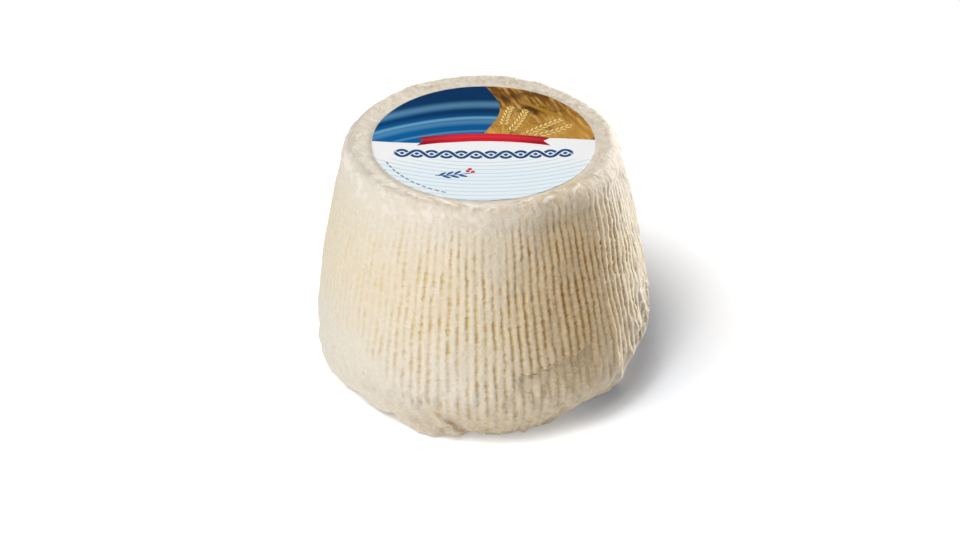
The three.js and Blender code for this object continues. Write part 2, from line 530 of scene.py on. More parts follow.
def crack_parts(angle, height):
    """How far above the nearest crack a point is, how open that crack is there, and the step below it.

    At a crack each rib ends at a height of its own, in a rounded tip. A fold has no such tips.
    """
    rib = np.floor(angle * RIBS / 360)
    across = 2 * (angle * RIBS / 360 - rib) - 1
    tip = CRACK_TIP_VARIETY * jitter(rib, 3) - CRACK_TIP_ROUNDING * (1 - across**2)
    above = np.full_like(height, CRACK_REACH)
    opening = np.zeros_like(height)
    set_back = np.zeros_like(height)
    for path, depth in CRACKS:
        is_crack = depth > 0
        away = height - by_angle(angle, path) - tip * is_crack
        first, last = path[0][0], path[-1][0]
        along = span(angle, first - 1.5, first + 0.5, last - 0.5, last + 1.5)
        nearer = (np.abs(away) < np.abs(above)) & (along > 0)
        above = np.where(nearer, away, above)
        opening = np.where(nearer, along * (1.0 if is_crack else FOLD_OPENING), opening)
        set_back = set_back + depth * along * fade(away, -0.9, 0.3) * smoothstep(away, -STEP_REACH, -2)
    return np.clip(above, -4, 4), opening, set_back


def flake_parts(angle, radius, height):
    """How high the torn flakes of the top edge stand, and how much of one is at a point."""
    lift = np.zeros_like(height)
    share = np.zeros_like(height)
    on_top = smoothstep(height, HEIGHT - 4, HEIGHT - 1)
    for middle, reach, half_length, half_width, rise, slant in FLAKES:
        along = np.radians(wrap(angle - middle)) * reach
        wavy = 0.35 * np.sin(along * 1.3 + middle)
        outward = (radius - reach - slant * along - wavy) / half_width
        plate = span(outward, -2.2, 0, 0.1, 0.8) * np.exp(-((along / half_length) ** 4)) * on_top
        lift = np.maximum(lift, rise * plate)
        share = np.maximum(share, plate**2 * np.clip(rise / 0.75, 0.3, 1))
    return lift, share


def roughness(angle, height):
    """How crumbly the curd is, from 0 to 1: at the foot, under the broken ribs and on the right."""
    least = 0.14 + 0 * height
    low = fade(height, 8, 27) * (0.8 - 0.6 * span(-angle, *CLOSED_FOOT))
    broken = 0.5 * lump_around(angle, *BROKEN_RIBS) * fade(height, 38, 47)
    right = lump_around(angle, *LUMPY_SIDE) * (0.1 + 0.6 * fade(height, 36, 56))
    behind = 0.35 * lump_around(angle, *CRUMBLY_BACK)
    return np.maximum.reduce([least, low, broken, right, behind])


def rib_hold(angle, height):
    """How strongly the basket's slats marked the curd, from 0 to 1."""
    rib = np.round(angle * RIBS / 360)
    start = RIB_TOP + RIB_TOP_RISE * span(angle, *HIGH_RIBS) + RIB_VARIETY * jitter(rib, 5)
    top = (1 - 0.5 * smoothstep(height, start - 14, start)) * fade(height, start - 1, start + 7)
    end = by_angle(angle, RIB_ENDS) + RIB_VARIETY * jitter(rib, 6)
    foot = smoothstep(height, end - 4, end + 9) * (0.8 + 0.2 * smoothstep(height, 12, 46))
    soft = span(angle, *SOFT_RIBS) * smoothstep(height, 30, 60)
    hold = (1 - 0.7 * span(-angle, *FAINT_RIBS)) * (1 - 0.5 * soft) * top * foot
    above, crack, _ = crack_parts(angle, height)
    broken = lump_around(angle, *BROKEN_RIBS) * span(height, 6, 24, 38, 46)
    hold = hold * (1 - 0.5 * np.maximum(broken, crack * fade(above, -1.4, 0.2)))
    hold = hold * (1 - lump_around(angle, *SMOOTH_LOBE) * fade(height, 14, 25))
    for middle, spread, level, half_height, strength in HOOPS:
        band = 1 - np.abs(height - level - 2.4 * jitter(rib, level)) / (2 * half_height)
        closed = smoothstep(np.clip(band, 0, 1), 0, 0.7) * (0.7 + 0.3 * jitter(rib, level + 1))
        hold = hold * (1 - strength * lump_around(angle, middle, spread * 1.6) * closed)
    return hold


def rib_turn(angle, height):
    """Degrees by which a rib has strayed round the body at a height, and its small wander."""
    angle = wrap(angle)
    way = np.radians(angle)
    fall = np.clip((STRAY_START - height) / STRAY_DROP, 0, 1.3)
    late = np.clip((fall - STRAY_DELAY) / (1 - STRAY_DELAY), 0, 1.4)
    stray = by_angle(angle, STRAY) * (fall + (late - fall) * span(angle, *LATE_STRAY))
    bow = -1.3 * lump_around(angle, *BOWED_RIBS) * np.sin(np.clip(fall / 0.8, 0, 1) * np.pi)
    wander = 0.10 * np.sin(height / 8.1 + 3 * np.sin(5 * way)) + 0.07 * np.sin(height / 3.9 + 9 * way)
    wave = 0.5 * lump_around(angle, *WAVY_RIBS) * np.sin(height / 5.2 + 14 * way + 2 * np.sin(height / 11))
    slip = smoothstep(height, 92, 95) - 0.9 * fade(height, 75, 78)
    return stray + bow + wander + wave + 1.1 * lump_around(angle, *SLIPPED_RIBS) * slip


def side_rows():
    """Heights up the side, evenly spaced along its curve."""
    fine = np.linspace(0, EDGE_START, 4000)
    travel = np.concatenate([[0], np.cumsum(np.hypot(np.diff(fine), np.diff(side_radius(fine))))])
    count = int(travel[-1] / ROW_STEP)
    return np.interp(np.linspace(0, travel[-1], count), travel, fine)


def section():
    """Rows from the foot's edge to the seat: mean radius, height, share of the body's lumps."""
    rows = [(side_radius(height), height, 1.0) for height in side_rows()]
    edge_radius, edge_rise = side_radius(EDGE_START), HEIGHT + RIM_LIFT - EDGE_START
    for bend in np.linspace(0, np.pi / 2, EDGE_ROWS)[1:]:
        radius = CROWN_RADIUS + (edge_radius - CROWN_RADIUS) * math.cos(bend)
        rows.append((radius, EDGE_START + edge_rise * math.sin(bend), 1.0))
    for share in np.linspace(0, 1, SEAT_ROWS)[1:]:
        radius = CROWN_RADIUS + (SEAT_RADIUS - CROWN_RADIUS) * share
        lifted = fade(share, 0, 1)
        rows.append((radius, HEIGHT + RIM_LIFT * lifted, lifted))
    return np.array(rows)


def body_grid():
    """Angle, radius and height of every vertex, one row per ring, from under the foot to the seat."""
    mean = section()
    angle = np.broadcast_to(np.arange(COLUMNS) * 360 / COLUMNS, (len(mean), COLUMNS))
    height = np.repeat(mean[:, 1:2], COLUMNS, axis=1)
    offset = out_of_round(angle, height) + foot_lumps(angle, height) - foot_rounding(height)
    offset = offset + sum(lump[4] * mark(angle, height, lump) for lump in SIDE_LUMPS)
    offset = offset - crack_parts(wrap(angle), height)[2]
    offset = offset - sum(pit[4] * mark(angle, height, pit) for pit in PITS)
    radius = mean[:, :1] + offset * mean[:, 2:]
    height = height + flake_parts(angle, radius, height)[0]
    under = np.array([radius[0] * share for share in UNDER_RINGS])
    seat = np.full((1, COLUMNS), SEAT_RADIUS * SEAT_RING)
    radius = np.concatenate([under, radius, seat])
    height = np.concatenate([np.zeros_like(under), height, np.full_like(seat, HEIGHT)])
    return np.broadcast_to(angle[:1], radius.shape), radius, height


def grid_faces(rows, columns):
    """Quads round the rings, and a fan to the two vertices that follow them, below and above."""
    ring = np.arange(columns)
    after = (ring + 1) % columns
    start = np.arange(rows - 1)[:, None] * columns
    quads = np.stack([start + ring, start + after, start + columns + after, start + columns + ring], -1)
    last, bottom = (rows - 1) * columns, rows * columns
    under = [(bottom, after[i], ring[i]) for i in ring]
    over = [(bottom + 1, last + ring[i], last + after[i]) for i in ring]
    return quads.reshape(-1, 4).tolist() + under + over


def new_object(name, vertices, faces, material):
    mesh = bpy.data.meshes.new(name)
    mesh.from_pydata(vertices, [], faces)
    mesh.materials.append(material)
    mesh.shade_smooth()
    mesh.update()
    made = bpy.data.objects.new(name, mesh)
    bpy.context.scene.collection.objects.link(made)
    return made


def store(mesh, name, values):
    attribute = mesh.attributes.new(name, "FLOAT", "POINT")
    attribute.data.foreach_set("value", np.asarray(values, dtype=np.float32).ravel())


def turned_object(name, turn, radius, height, poles, material):
    """A closed piece from rings of points, with the heights of its lowest and highest middle."""
    points = np.stack([radius * np.sin(turn), -radius * np.cos(turn), height], -1).reshape(-1, 3)
    vertices = np.concatenate([points, [(0, 0, level) for level in poles]]) * MM
    return new_object(name, vertices.tolist(), grid_faces(*radius.shape), material)


def turned_body(material):
    """The curd's closed mesh, with all that the nodes and the finish need to know at each point."""
    angle, radius, height = body_grid()
    turn = np.radians(angle + rib_turn(angle, height))
    body = turned_object("ricotta_curd", turn, radius, height, (0, HEIGHT), material)
    shown = np.ones_like(radius)
    shown[:len(UNDER_RINGS)] = 0
    shown[-2:] = 0
    bearing = wrap(angle)
    above, crack, _ = crack_parts(bearing, height)
    top_start = by_angle(bearing, TOP_STARTS)
    top_whole = np.minimum(top_start + TOP_FADE, HEIGHT + 0.6)
    fields = {
        "rib_angle": angle + 0 * height,
        "rib_hold": rib_hold(bearing, height) * shown,
        "rough": roughness(bearing, height) * shown,
        "coarse": lump_around(bearing, *CRAGGY_SIDE) * (1 - 0.85 * smoothstep(height, 38, 58)) * shown,
        "dotted": (1 - 0.75 * span(bearing, *PLAIN_GROOVES)) * shown,
        "ring": smoothstep(height, top_start, top_whole) * np.maximum(shown, height > HEIGHT - 1),
        "shown": shown,
        "above_crack": above,
        "crack": crack * shown,
        "pit": np.clip(sum(mark(angle, height, spot) for spot in PITS), 0, 1) * shown,
        "stain": np.clip(sum(mark(angle, height, spot) for spot in STAINS), 0, 1) * shown,
        "flake": flake_parts(angle, radius, height)[1] * shown,
    }
    for name, values in fields.items():
        store(body.data, name, np.append(values, [0, 0]))
    return body


# ---- Geometry nodes
def geometry_tree(name, inputs):
    """A geometry tree with those named inputs: (graph, its input wires, socket identifiers)."""
    tree = bpy.data.node_groups.new(name, "GeometryNodeTree")
    face = tree.interface
    face.new_socket("Geometry", in_out="OUTPUT", socket_type="NodeSocketGeometry")
    face.new_socket("Geometry", in_out="INPUT", socket_type="NodeSocketGeometry")
    keys = {}
    for label, value in inputs.items():
        kind = "NodeSocketInt" if isinstance(value, int) else "NodeSocketFloat"
        keys[label] = face.new_socket(label, in_out="INPUT", socket_type=kind).identifier
    graph = Graph(tree)
    entry = tree.nodes.new("NodeGroupInput")
    wires = {socket.name: Wire(graph, socket) for socket in entry.outputs if socket.name}
    return graph, wires, keys


def close_tree(graph, geometry, material):
    """Ends the tree: smooth, realized, in its material."""
    smooth = graph.add("GeometryNodeSetShadeSmooth", None, geometry)
    real = graph.add("GeometryNodeRealizeInstances", None, smooth)
    painted = graph.add("GeometryNodeSetMaterial", None, real, Material=material)
    leave = graph.tree.nodes.new("NodeGroupOutput")
    graph.tree.links.new(painted.socket, leave.inputs[0])


def run_tree(target, graph, keys, inputs):
    """Runs the tree on the target's mesh and keeps the result as its plain mesh."""
    modifier = target.modifiers.new(graph.tree.name, "NODES")
    modifier.node_group = graph.tree
    for label, value in inputs.items():
        modifier[keys[label]] = value
    depsgraph = bpy.context.evaluated_depsgraph_get()
    mesh = bpy.data.meshes.new_from_object(target.evaluated_get(depsgraph))
    target.modifiers.remove(modifier)
    old = target.data
    target.data = mesh
    mesh.name = old.name
    bpy.data.meshes.remove(old)


def attribute(graph, name):
    return graph.add("GeometryNodeInputNamedAttribute", {"data_type": "FLOAT"}, name)


def keep(graph, geometry, name, value, kind="FLOAT"):
    settings = {"data_type": kind, "domain": "POINT"}
    return graph.add("GeometryNodeStoreNamedAttribute", settings, geometry, Name=name, Value=value)


def push(graph, geometry, distance):
    """Moves every point along its normal."""
    normal = graph.add("GeometryNodeInputNormal")
    offset = graph.add("ShaderNodeVectorMath", {"operation": "SCALE"}, normal, Scale=distance)
    return graph.add("GeometryNodeSetPosition", None, geometry, Offset=offset)


def stand_on_floor(graph, geometry):
    """Lifts every point that is under the floor up to it."""
    x, y, z = graph.split(graph.add("GeometryNodeInputPosition"))
    lifted = graph.vector(x, y, graph.higher(z, 0.0))
    return graph.add("GeometryNodeSetPosition", None, geometry, Position=lifted)


def curd_place(graph):
    """Where a point was before the ribs were pressed."""
    return graph.add("GeometryNodeInputNamedAttribute", {"data_type": "FLOAT_VECTOR"}, "curd_place")


def random_of(graph, number, seed):
    """A fixed random share for a whole number."""
    at = graph.vector(number, seed, 0.5)
    return graph.add("ShaderNodeTexWhiteNoise", {"noise_dimensions": "3D"}, at)


def press_ribs(body, material):
    """The basket's ribs: upright grooves, ragged and dotted, that the curd fills here and there."""
    inputs = {
        "Rib Count": float(RIBS),
        "Rib Rise": RIB_RISE * MM,
        "Groove Depth": GROOVE_DEPTH * MM,
        "Groove Sharpness": 1.9,
        "Groove Softness": 0.5,
        "Sway": 0.3,
        "Sway Length": 10.0 * MM,
        "Raggedness": 0.34,
        "Tangle": 0.6,
        "Depth Variety": 0.3,
        "Dash Length": 2.1 * MM,
        "Dash Depth": 0.6,
        "Bridge Strength": 0.7,
        "Swell Height": 0.6 * MM,
        "Swell Length": 2.6 * MM,
        "Seed": SEED,
    }
    tangle_size, patch_size, stretch_length = 6.5 * MM, 10 * MM, 13 * MM
    graph, given, keys = geometry_tree("basket_ribs", inputs)
    place = graph.add("GeometryNodeInputPosition")
    height = graph.split(place)[2]

    def along(rib, apart, seed, length, detail=2.0):
        """Noise that runs up each rib, in which neighbours lie that far apart."""
        track = graph.vector(rib * apart, given["Seed"] + seed, height / length)
        return graph.noise(track, detail=detail)

    tangle = (graph.noise(place, 1 / tangle_size, detail=1.0) - 0.5) * attribute(graph, "coarse")
    phase = attribute(graph, "rib_angle") / 360 * given["Rib Count"] + tangle * given["Tangle"]
    nearest = graph.math("ROUND", phase)
    number = nearest % given["Rib Count"]
    sway = along(number, 3.7, 5, given["Sway Length"]) - 0.5
    ragged = along(number, 2.3, 11, given["Dash Length"]) - 0.5
    swayed = phase + sway * given["Sway"] + ragged * given["Raggedness"]
    across = graph.lower(abs(swayed - nearest) * 2, 1.0)

    # How deep a groove is: each its own depth, with dashes, bridges and worn patches
    depth = 1 - given["Depth Variety"] * random_of(graph, number, given["Seed"])
    dashes = along(number, 7.3, 0, given["Dash Length"], detail=1.0)
    dash = graph.step(dashes, 0.42, 0.62) * attribute(graph, "dotted") * given["Dash Depth"]
    broken_off = 0.26 + 0.1 * graph.step(height, 56 * MM, 74 * MM)
    bridged = graph.step(dashes, broken_off + 0.07, broken_off) * given["Bridge Strength"]
    stretches = graph.step(along(number, 1.7, 9, stretch_length, detail=1.0), 0.36, 0.54)
    patches = graph.step(graph.noise(place, 1 / patch_size), 0.34, 0.5)
    worn = 0.4 + 0.3 * graph.step(height, 58 * MM, 80 * MM)
    hold = attribute(graph, "rib_hold") * (1 - worn * (1 - patches)) * (0.45 + 0.55 * stretches)
    opened = depth * (1 - bridged) * (1 - dash) * hold
    softened = graph.step(height, 60 * MM, 100 * MM) * given["Groove Softness"]
    groove = (1 - across) ** (given["Groove Sharpness"] - softened) * opened
    swell = along(graph.math("FLOOR", phase), 5.7, 3, given["Swell Length"]) - 0.5
    crest = (1 - (1 - across) ** 2) * swell

    turn = swayed / given["Rib Count"] * (2 * math.pi)
    way = graph.vector(graph.sine(turn), graph.cosine(turn), 0.0)
    kept = keep(graph, given["Geometry"], "curd_place", place, "FLOAT_VECTOR")
    kept = keep(graph, kept, "rib_way", way, "FLOAT_VECTOR")
    kept = keep(graph, kept, "rib_open", opened)
    kept = keep(graph, kept, "groove", groove)
    relief = (given["Rib Rise"] + crest * given["Swell Height"]) * hold - groove * given["Groove Depth"]
    close_tree(graph, push(graph, kept, relief), material)
    run_tree(body, graph, keys, inputs)


def crumble_curd(body, material):
    """The curd's own relief: lumps and grain all over, dents where it is rough, crags, a scaly top."""
    inputs = {
        "Lump Size": 4.2 * MM,
        "Lump Height": 0.9 * MM,
        "Dent Size": 2.6 * MM,
        "Dent Depth": 0.9 * MM,
        "Crag Size": 4.0 * MM,
        "Crag Height": 1.9 * MM,
        "Grain Size": 1.5 * MM,
        "Grain Height": 0.5 * MM,
        "Flake Size": 5.5 * MM,
        "Flake Height": 0.22 * MM,
        "Seed": SEED,
    }
    graph, given, keys = geometry_tree("curd_grain", inputs)
    place = graph.shift(curd_place(graph), graph.vector(given["Seed"] * 0.01, 0.3, 0.7))
    rough, coarse, ring = (attribute(graph, name) for name in ("rough", "coarse", "ring"))
    lumps = graph.noise(place, 1.0 / given["Lump Size"], detail=3.0) - 0.5
    grain = graph.noise(place, 1.0 / given["Grain Size"]) - 0.5
    cells = graph.cells(graph.stretch(place, (1, 1, 0.55)), 1.0 / given["Crag Size"])
    crags = graph.step(cells, 0.75, 0.1) - 0.5
    dents = graph.noise(graph.stretch(place, (1, 1, 0.5)), 1.0 / given["Dent Size"], detail=1.0)
    flakes = graph.noise(place, 1.0 / given["Flake Size"], detail=3.0)

    relief = lumps * given["Lump Height"] * (0.5 + rough)
    relief = relief + grain * given["Grain Height"] * (0.4 + rough)
    relief = relief - graph.step(dents, 0.5, 0.34) * given["Dent Depth"] * rough
    relief = relief + crags * given["Crag Height"] * coarse
    relief = relief + lumps * given["Lump Height"] * ring * 0.2
    relief = relief + graph.step(flakes, 0.52, 0.58) * given["Flake Height"] * ring
    moved = push(graph, given["Geometry"], relief * attribute(graph, "shown"))
    close_tree(graph, stand_on_floor(graph, moved), material)
    run_tree(body, graph, keys, inputs)


def scatter_crumbs(body, material):
    """Loose crumbs that cling in the grooves and at the foot, as one mesh."""
    inputs = {
        "Crumb Size": 0.8 * MM,
        "Crumbs per m2": 16000.0,
        "Closest": 1.8 * MM,
        "Seed": SEED,
    }
    whole_turns = (6.3, 6.3, 6.3)
    graph, given, keys = geometry_tree("clinging_crumbs", inputs)
    wanted = attribute(graph, "groove") * 0.45 + attribute(graph, "rough") ** 2 * 0.55
    points = graph.add(
        "GeometryNodeDistributePointsOnFaces", {"distribute_method": "POISSON"}, given["Geometry"],
        Distance_Min=given["Closest"], Density_Max=given["Crumbs per m2"],
        Density_Factor=graph.step(wanted, 0.25, 0.9), Seed=given["Seed"],
    )
    ball = graph.add("GeometryNodeMeshIcoSphere", None, Radius=given["Crumb Size"] * 0.5, Subdivisions=2)
    a_vector = {"data_type": "FLOAT_VECTOR"}
    turn = graph.add("FunctionNodeRandomValue", a_vector, Max=whole_turns, Seed=given["Seed"])
    spread = graph.add(
        "FunctionNodeRandomValue", a_vector,
        Min=(0.5, 0.5, 0.4), Max=(1.2, 1.0, 0.8), Seed=given["Seed"] + 1,
    )
    placed = graph.add(
        "GeometryNodeInstanceOnPoints", None, points, Instance=ball, Rotation=turn, Scale=spread,
    )
    loose = graph.add("GeometryNodeRealizeInstances", None, placed)
    close_tree(graph, stand_on_floor(graph, loose), material)
    crumbs = bpy.data.objects.new("clinging_crumbs", body.data.copy())
    bpy.context.scene.collection.objects.link(crumbs)
    run_tree(crumbs, graph, keys, inputs)
    return crumbs


# ---- The label
def label_disc(material):
    """A thin paper disc with a soft edge, lying on the seat and barely waved."""
    thickness, columns = LABEL_THICKNESS, 240
    under = [(LABEL_RADIUS * 0.5, 0.0), (LABEL_RADIUS * 0.98, 0.0)]
    edge = [(LABEL_RADIUS, 0.05), (LABEL_RADIUS, thickness * 0.6), (LABEL_RADIUS - 0.1, thickness - 0.03)]
    top = [(share * LABEL_RADIUS, thickness) for share in np.linspace(0.985, 0.04, 24)]
    rows = np.array(under + edge + top)
    angle = np.radians(np.arange(columns) * 360 / columns)
    radius = np.repeat(rows[:, :1], columns, axis=1)
    height = np.repeat(rows[:, 1:], columns, axis=1)
    wave = 0.12 * np.sin(3 * angle + 0.7) + 0.08 * np.sin(7 * angle + 2) + 0.05 * np.sin(13 * angle)
    height = height + np.maximum(0, wave) * smoothstep(radius, 30, LABEL_RADIUS) * (height > 0.01)
    poles = (HEIGHT, HEIGHT + thickness)
    return turned_object("printed_label", angle, radius, HEIGHT + height, poles, material)


# ---- Materials
def new_material(name):
    material = bpy.data.materials.new(name)
    material.use_nodes = True
    material.node_tree.nodes.clear()
    return material, Graph(material.node_tree)


def finish_material(graph, **sockets):
    """The Principled shader with those sockets, wired to the output."""
    shader = graph.add("ShaderNodeBsdfPrincipled", None, **sockets)
    graph.add("ShaderNodeOutputMaterial", None, shader)


def stored(graph, name, output="Fac"):
    """What the mesh holds under that name."""
    return graph.add("ShaderNodeAttribute", {"attribute_name": name}).other(output)


def add_grooves(graph, at):
    """A groove's whole width, its dark core, its section and the gaps between dots along it, 0 to 1."""
    sine, cosine, _ = graph.split(stored(graph, "rib_way", "Vector"))
    phase = graph.math("ARCTAN2", sine, cosine) * (RIBS / (2 * math.pi))
    number = graph.math("ROUND", phase)
    ragged = graph.noise(graph.vector(phase * 1.6, at.height * 0.5, 2.0), detail=3.0) - 0.5
    dots = graph.step(graph.noise(graph.vector(number * 3.1, at.height * 0.55, 5.0)), 0.34, 0.64)
    # The band is shifted 0.07 of a pitch towards the groove's left wall, which the key light leaves in
    # shade, to paint shade there
    width = abs(phase - number + 0.07) * 2 + ragged * 0.5 + (at.grain - 0.5) * 0.15 + (dots - 0.5) * 0.25
    at.groove, at.core = graph.step(width, 0.86, 0.12), graph.step(width, 0.56, 0.02)
    at.dip = graph.higher(1 - abs(phase - number) * 2 * 1.25, 0.0) ** 1.5
    at.dots = 1 - dots


def curd_place_and_noise(graph):
    """What the finish is worked out from at a point: where it is, what is there, and noise."""
    names = ("rough", "ring", "pit", "stain", "flake")
    at = SimpleNamespace(**{name: stored(graph, name) for name in names})
    place = stored(graph, "curd_place", "Vector")
    x, y, at.height = graph.split(graph.stretch(place, IN_MM))
    at.patches = graph.noise(place, PATCHES, detail=3.0)
    at.grain = graph.noise(place, GRAIN, detail=3.0, roughness=0.6)
    at.beads = graph.noise(graph.stretch(place, (1, 1, 1.4)), BEADS, detail=3.0)
    at.mottle = graph.noise(place, MOTTLE, detail=3.0)
    at.scales = graph.noise(place, SCALES, detail=3.0)
    add_grooves(graph, at)
    at.hold = graph.lower(stored(graph, "rib_open") * 1.5, 1.0)
    ragged = stored(graph, "above_crack") + (at.beads - 0.5) * 2.4 + 0.3
    # Where the ribs break off: a cut in the relief, and painted shade along it
    at.fissure = graph.hill(ragged, 0, 1.3) * stored(graph, "crack") * graph.step(at.beads, 0.42, 0.62)
    bearing = graph.bearing(x, y)
    # Painted shade: the curd is darker and more ochre at the right front, a little less on the top edge
    at.tan = graph.hill(bearing, *SHADED_FRONT) * graph.step(at.height, 6, 40)
    at.tan = at.tan * (1 - 0.3 * graph.step(at.height, 96, 115))
    at.to_left = graph.hill(bearing, *PALE_LEFT)
    at.to_side = graph.hill(bearing, *PALE_SIDE)
    at.belt = graph.hill(at.height, *YELLOW_BELT)
    return at


def cream_colour(graph, at):
    """The curd between the grooves: yellower in a belt, with painted shade at the right front and low
    down.
    """
    # Painted shade: the curd is darker low down, less so on the left
    low = graph.step(at.height, 38, 10) * (1 - at.to_left)
    crumbly = graph.step(at.mottle, 0.52, 0.32) * at.rough * (1 - at.to_left * 0.7)
    side = graph.paint(
        (219, 211, 198),
        (graph.step(at.patches, 0.35, 0.65), (219, 207, 187)),
        (at.belt * 0.5, (217, 201, 169)),
        (at.to_left, graph.paint((204, 197, 182), (at.belt, (206, 195, 173)))),
        # painted shade at the right front
        (at.tan * 0.8, (198, 169, 121)),
        # painted shade low down
        (low * 0.85, (183, 168, 143)),
        (at.to_side * 0.7, (208, 199, 184)),
        (graph.step(at.beads, 0.42, 0.66) * 0.3, (228, 219, 203)),
    )
    top = graph.paint(
        (213, 202, 183),
        (graph.step(at.mottle, 0.34, 0.64), (224, 213, 197)),
        (at.to_left, (207, 199, 185)),
        # painted shade at the right front of the top edge
        (at.tan * 0.8, (205, 183, 148)),
        (graph.step(at.scales, 0.52, 0.58) * 0.4, (232, 225, 214)),
    )
    return graph.paint(side, (at.ring * 0.9, top), (crumbly * 0.5, (180, 156, 114)))


def curd_colour(graph, at):
    """Cream on the ribs and buff in the grooves, with pits, cracks, stains, flakes and painted shade."""
    # The grooves are painted darker and more ochre at the right front, most in the belt, as shade
    front_shade_in_belt = at.tan * (0.3 + 0.7 * at.belt)
    buff = graph.paint((204, 186, 152), (at.belt, (214, 189, 138)), (front_shade_in_belt, (178, 134, 66)))
    dark = graph.paint((196, 174, 132), (at.belt, (210, 171, 102)), (front_shade_in_belt, (152, 104, 40)))
    speck = at.beads - 0.5
    return graph.paint(
        cream_colour(graph, at),
        # the grooves' own ochre, and painted shade where the band lies on the shaded wall and in the
        # darker core
        (at.groove * at.hold * 0.9, buff),
        (at.core * at.hold * (0.24 + 0.3 * at.dots), dark),
        (graph.step(at.pit + speck * 0.9, 0.1, 1) * 0.4, (182, 146, 92)),
        # painted shade along the cracks, tinted ochre
        (at.fissure * 0.6, (136, 104, 60)),
        (graph.step(at.stain + speck * 1.6, 0.1, 1.2) * 0.55, (186, 140, 80)),
        # a painted shadow round each flake, broadest on its inner side
        (graph.hill(at.flake, 0.12, 0.12) * 0.4, (186, 160, 126)),
        # whitish flakes, partly paler curd and partly painted highlight
        (graph.step(at.flake, 0.25, 0.9) * 0.75, (238, 231, 220)),
    )


def curd_relief(graph, at):
    """The finest relief in millimetres: grain and beads, scales on the top, the grooves' cores."""
    grainy = (at.grain - 0.5) * (0.22 + 0.25 * at.rough)
    beaded = (at.beads - 0.5) * (0.45 + 0.4 * at.rough) * (1 - at.ring * 0.5)
    scaly = (at.mottle - 0.5) * at.ring * 0.25 + graph.step(at.scales, 0.52, 0.57) * at.ring * 0.12
    cut = (at.dip * 0.2 + at.core * (0.1 + 0.2 * at.dots)) * at.hold * (1 - at.to_side * 0.5)
    return grainy + beaded + scaly - cut - at.fissure * 0.6


def curd_material():
    """Pressed curd: cream on the ribs, buff in the grooves, paler and cooler on top."""
    material, graph = new_material("pressed_curd")
    at = curd_place_and_noise(graph)
    relief = curd_relief(graph, at)
    normal = graph.add("ShaderNodeBump", None, Strength=1.0, Distance=MM, Height=relief)
    finish_material(
        graph, Base_Color=curd_colour(graph, at), Roughness=0.72 - 0.15 * at.core * at.hold, Normal=normal,
        Subsurface_Weight=0.25, Subsurface_Radius=(1.0, 0.72, 0.42), Subsurface_Scale=0.0011,
        Specular_IOR_Level=0.3,
    )
    return material


def inside(graph, distance):
    """1 where a distance in millimetres is below zero, with the soft edge of print."""
    return graph.step(distance, PRINT_EDGE, -PRINT_EDGE)


def turned_to(x, y, centre, degrees):
    """Coordinates about a centre, turned so that the first runs along that direction."""
    along, across = math.cos(math.radians(degrees)), math.sin(math.radians(degrees))
    away_x, away_y = x - centre[0], y - centre[1]
    return away_x * along + away_y * across, away_y * along - away_x * across


def oval(x, y, centre, radii, degrees=0):
    """How deep in an oval a point is: below zero inside, in millimetres of its short radius."""
    u, v = turned_to(x, y, centre, degrees)
    reach = ((u / radii[0]) ** 2 + (v / radii[1]) ** 2) ** 0.5
    return (reach - 1) * min(radii)


def wheat_ear(graph, x, y, root, degrees, length, bend):
    """An ear of wheat: where its grains, its beard and its stem are, and a shade within the grains."""
    pitch, lean, grain_radii, beard_pitch = 2.7, math.radians(33), (1.9, 0.95), 1.35
    u, v = turned_to(x, y, root, degrees)
    side = abs(v - u * u * bend)
    ear = graph.step(u, 0, 0.8) * graph.step(u, length, length - 1)
    cell = (u - side * 0.7) % pitch - pitch / 2
    out = side - 1.35 + u * (0.5 / length)
    along = cell * math.cos(lean) + out * math.sin(lean)
    off = out * math.cos(lean) - cell * math.sin(lean)
    reach = ((along / grain_radii[0]) ** 2 + (off / grain_radii[1]) ** 2) ** 0.5
    grain = inside(graph, reach - 1) * ear
    hair = (u - side * 1.5) % beard_pitch
    beard = inside(graph, abs(hair - 0.7) - 0.13) * graph.step(side, 1.8, 2.6) * graph.step(side, 5, 3)
    stem = inside(graph, side - 0.34) * graph.step(u, -26, -25) * graph.step(u, length, length - 1)
    return grain, beard * ear, stem, reach


def gold_field(graph, x, y):
    """Ripe gold: soft brown furrows, a sheaf of four ears and two blades."""
    straw = graph.noise(graph.vector(x * 0.5 + y * 0.18, y * 0.09, 3.1), detail=3.0)
    glow = graph.noise(graph.vector(x * 0.06, y * 0.08, 8.0))
    colour = graph.paint(
        (112, 70, 20),
        (graph.step(y, 44, 2), (184, 134, 54)),
        (graph.step(straw, 0.42, 0.68) * 0.75, (216, 170, 92)),
        (graph.step(glow, 0.52, 0.36) * 0.85, (62, 38, 16)),
    )
    for centre, radii, degrees in (((20, 13), (12, 1.5), 12), ((27, 28), (11, 1.3), -38)):
        blade = oval(x, y, centre, radii, degrees)
        colour = graph.paint(colour, (inside(graph, blade) * 0.85, (172, 128, 40)))
    # Each ear's root, the degrees it points to, its length and its bend
    ears = [
        ((12, 9), 62, 21, 0.006),
        ((19, 6), 44, 22, -0.004),
        ((22, 4), 22, 21, 0.007),
        ((9, 14), 84, 18, -0.006),
    ]
    for root, degrees, length, bend in ears:
        grain, beard, stem, reach = wheat_ear(graph, x, y, root, degrees, length, bend)
        kernel = graph.paint((246, 214, 136), (graph.step(reach, 0.25, 1), (150, 98, 30)))
        hair, stalk = (beard * 0.55, (240, 206, 130)), (stem, (206, 160, 76))
        colour = graph.paint(colour, hair, stalk, (grain, kernel))
    return colour


